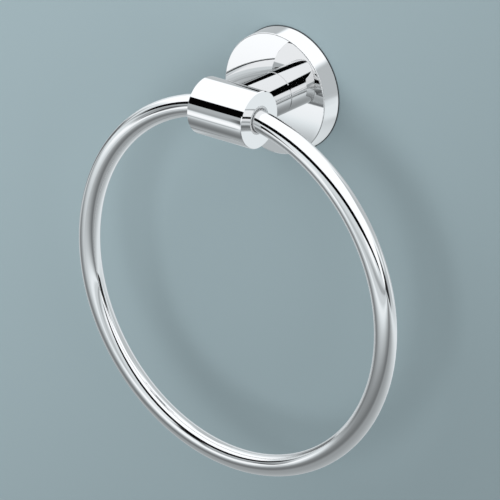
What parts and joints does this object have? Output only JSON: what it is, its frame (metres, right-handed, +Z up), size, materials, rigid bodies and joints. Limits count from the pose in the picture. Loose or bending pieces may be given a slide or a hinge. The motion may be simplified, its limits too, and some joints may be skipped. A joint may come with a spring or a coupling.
{
  "type": "towel ring",
  "caption": "Wall-mounted towel ring: round wall plate, short arm, crossbar and a round ring that swings in two bushes.",
  "frame": {"origin": "centre of the wall plate's back edge, in the plane of the wall, midway between the two wall screw holes", "axes": "+Z up, +Y into the wall, +X to the right as seen from the room; the ring's hinge axis is parallel to X"},
  "size_m": [0.164, 0.0476, 0.1844],
  "materials": {
    "plate_chrome": "polished",
    "arm_chrome": "polished",
    "crossbar_chrome": "polished",
    "ring_chrome": "polished",
    "bush_plastic": "satin",
    "bracket_steel": "zinc plated",
    "screw_steel": "plain",
    "washer_steel": "spring steel"
  },
  "bodies": {
    "bracket": {"wall_plate": "plate_chrome", "wall_bracket": "bracket_steel", "clamp_screw": "screw_steel", "arm": "arm_chrome", "arm_screw": "screw_steel", "spring_washer": "washer_steel", "crossbar": "crossbar_chrome", "left_bush": "bush_plastic", "right_bush": "bush_plastic"},
    "ring": {"ring": "ring_chrome"}
  },
  "joints": [
    {"name": "ring_swing", "type": "hinge", "parent": "bracket", "child": "ring", "pos_m": [0, -0.0358, 0], "axis": [-1, 0, 0], "range_deg": [-11, 191]}
  ]
}
